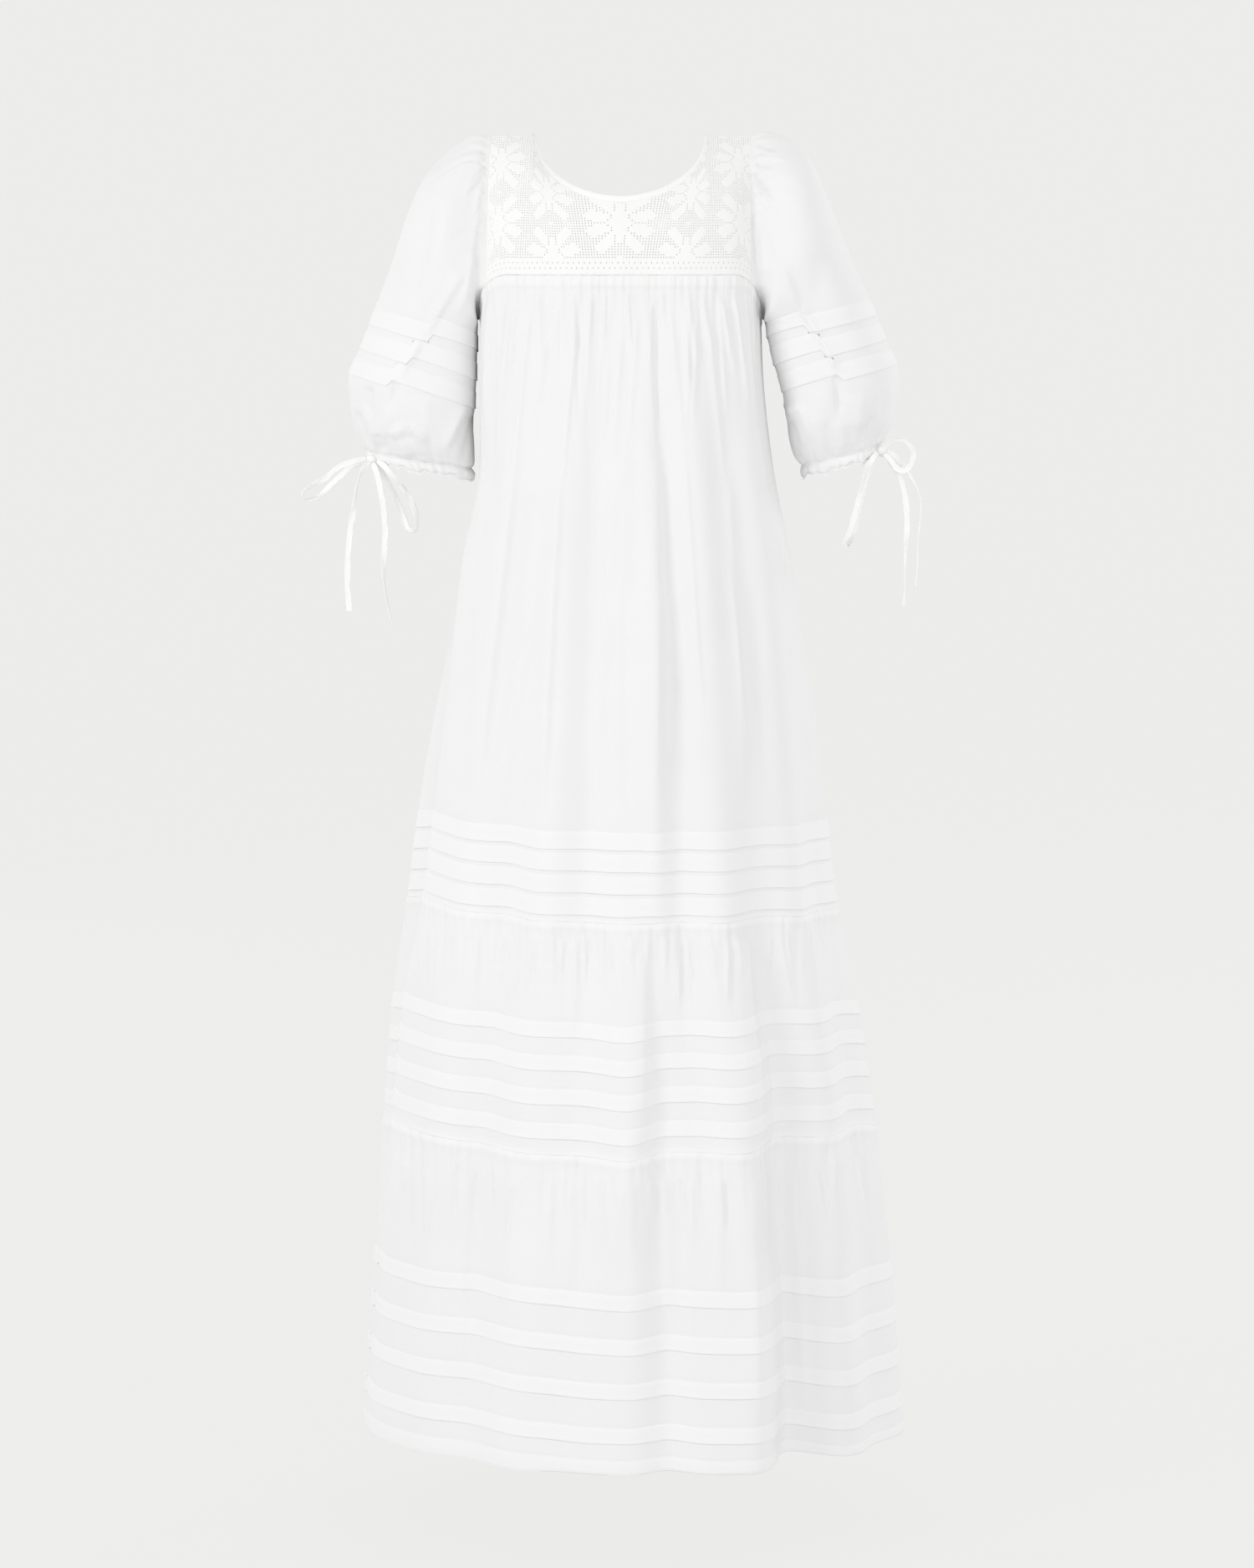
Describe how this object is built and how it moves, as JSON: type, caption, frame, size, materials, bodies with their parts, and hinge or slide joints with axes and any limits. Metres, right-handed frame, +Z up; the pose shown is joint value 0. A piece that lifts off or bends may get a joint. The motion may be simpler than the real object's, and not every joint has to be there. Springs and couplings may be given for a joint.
{
  "type": "lace dress",
  "caption": "Long white cotton dress with a net-lace yoke, puffed tucked sleeves tied at the cuffs, and a gathered three-stretch skirt with tucks, filled out.",
  "frame": {"origin": "midway between the shoulder seams, where the wearer's shoulders hold the dress up", "axes": "+Z up, towards the wearer's head; the front of the dress faces -Y; +X is the wearer's left"},
  "size_m": [0.6709, 0.5364, 1.4192],
  "materials": {
    "voile": "matte",
    "lace": "matte",
    "binding": "matte"
  },
  "bodies": {
    "root": {"body_front": "voile", "body_back": "voile", "tier_two_front": "voile", "tier_two_back": "voile", "tier_three_front": "voile", "tier_three_back": "voile", "sleeve_left": "voile", "sleeve_right": "voile", "yoke_front": "lace", "yoke_back": "lace", "neck_binding": "binding", "cuff_left": "binding", "cuff_right": "binding", "knot_left": "binding", "knot_right": "binding", "loop_left_outer": "binding", "loop_left_inner": "binding", "tail_left_outer": "binding", "tail_left_inner": "binding", "loop_right_outer": "binding", "loop_right_inner": "binding", "tail_right_inner": "binding", "tail_right_outer": "binding"}
  },
  "joints": []
}
